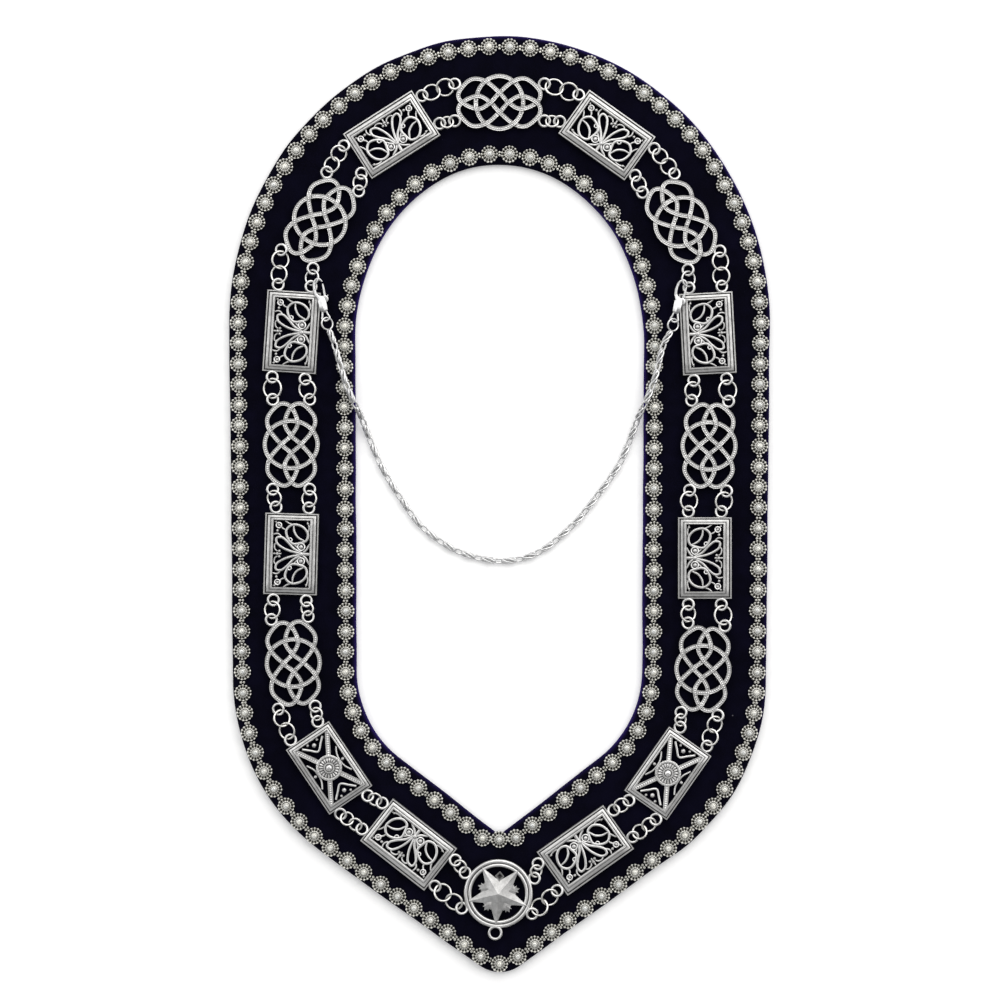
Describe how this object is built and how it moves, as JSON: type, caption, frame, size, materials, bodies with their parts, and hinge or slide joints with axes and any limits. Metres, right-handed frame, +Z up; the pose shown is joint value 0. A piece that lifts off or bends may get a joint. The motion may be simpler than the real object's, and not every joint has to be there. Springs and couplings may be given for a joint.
{
  "type": "chain collar of office on a velvet band",
  "caption": "Regalia chain collar: pierced cast plates joined by rings on a V-pointed velvet band edged with stone trims, with a star roundel, pendant loop, two clasps and a neck chain",
  "frame": {"origin": "middle of the underside, at the height of the ground it lies on", "axes": "+Z up out of the ground it lies on; +Y from the pendant loop at the point to the plate at the back of the neck; +X to the right as seen from above, which is the picture's right"},
  "size_m": [0.2936, 0.508, 0.0119],
  "materials": {
    "velvet": "dark navy velvet",
    "silver": "antiqued bright silver plate",
    "stones": "clear stones in silver settings"
  },
  "bodies": {
    "collar": {"velvet_collar": "velvet", "outer_stone_trim": "stones", "inner_stone_trim": "stones", "top_knot": "silver", "right_top_scroll": "silver", "right_top_knot": "silver", "right_upper_scroll": "silver", "right_middle_knot": "silver", "right_lower_scroll": "silver", "right_lower_knot": "silver", "right_barred_plate": "silver", "right_bottom_scroll": "silver", "star_roundel": "silver", "left_bottom_scroll": "silver", "left_barred_plate": "silver", "left_lower_knot": "silver", "left_lower_scroll": "silver", "left_middle_knot": "silver", "left_upper_scroll": "silver", "left_top_knot": "silver", "left_top_scroll": "silver", "left_clasp": "silver", "right_clasp": "silver", "inner_ring_01": "silver", "outer_ring_01": "silver", "inner_ring_02": "silver", "outer_ring_02": "silver", "outer_ring_03": "silver", "inner_ring_04": "silver", "outer_ring_04": "silver", "inner_ring_05": "silver", "outer_ring_05": "silver", "inner_ring_06": "silver", "outer_ring_06": "silver", "inner_ring_07": "silver", "outer_ring_07": "silver", "inner_ring_08": "silver", "outer_ring_08": "silver", "inner_ring_09": "silver", "outer_ring_09": "silver", "inner_ring_10": "silver", "outer_ring_10": "silver", "inner_ring_11": "silver", "outer_ring_11": "silver", "inner_ring_12": "silver", "outer_ring_12": "silver", "inner_ring_13": "silver", "outer_ring_13": "silver", "inner_ring_14": "silver", "outer_ring_14": "silver", "inner_ring_15": "silver", "outer_ring_15": "silver", "outer_ring_16": "silver", "inner_ring_17": "silver", "outer_ring_17": "silver", "inner_ring_18": "silver", "outer_ring_18": "silver", "neck_chain": "silver"},
    "left_lever": {"left_clasp_lever": "silver"},
    "right_lever": {"right_clasp_lever": "silver"}
  },
  "joints": [
    {"name": "left_lever_hinge", "type": "hinge", "parent": "collar", "child": "left_lever", "pos_m": [-0.0941, 0.11107, 0.00935], "axis": [0, 0, 1], "range_deg": [0, 14], "stiffness_Nm_per_rad": 0.0005},
    {"name": "right_lever_hinge", "type": "hinge", "parent": "collar", "child": "right_lever", "pos_m": [0.09888, 0.10942, 0.00935], "axis": [0, 0, 1], "range_deg": [0, 14], "stiffness_Nm_per_rad": 0.0005}
  ]
}
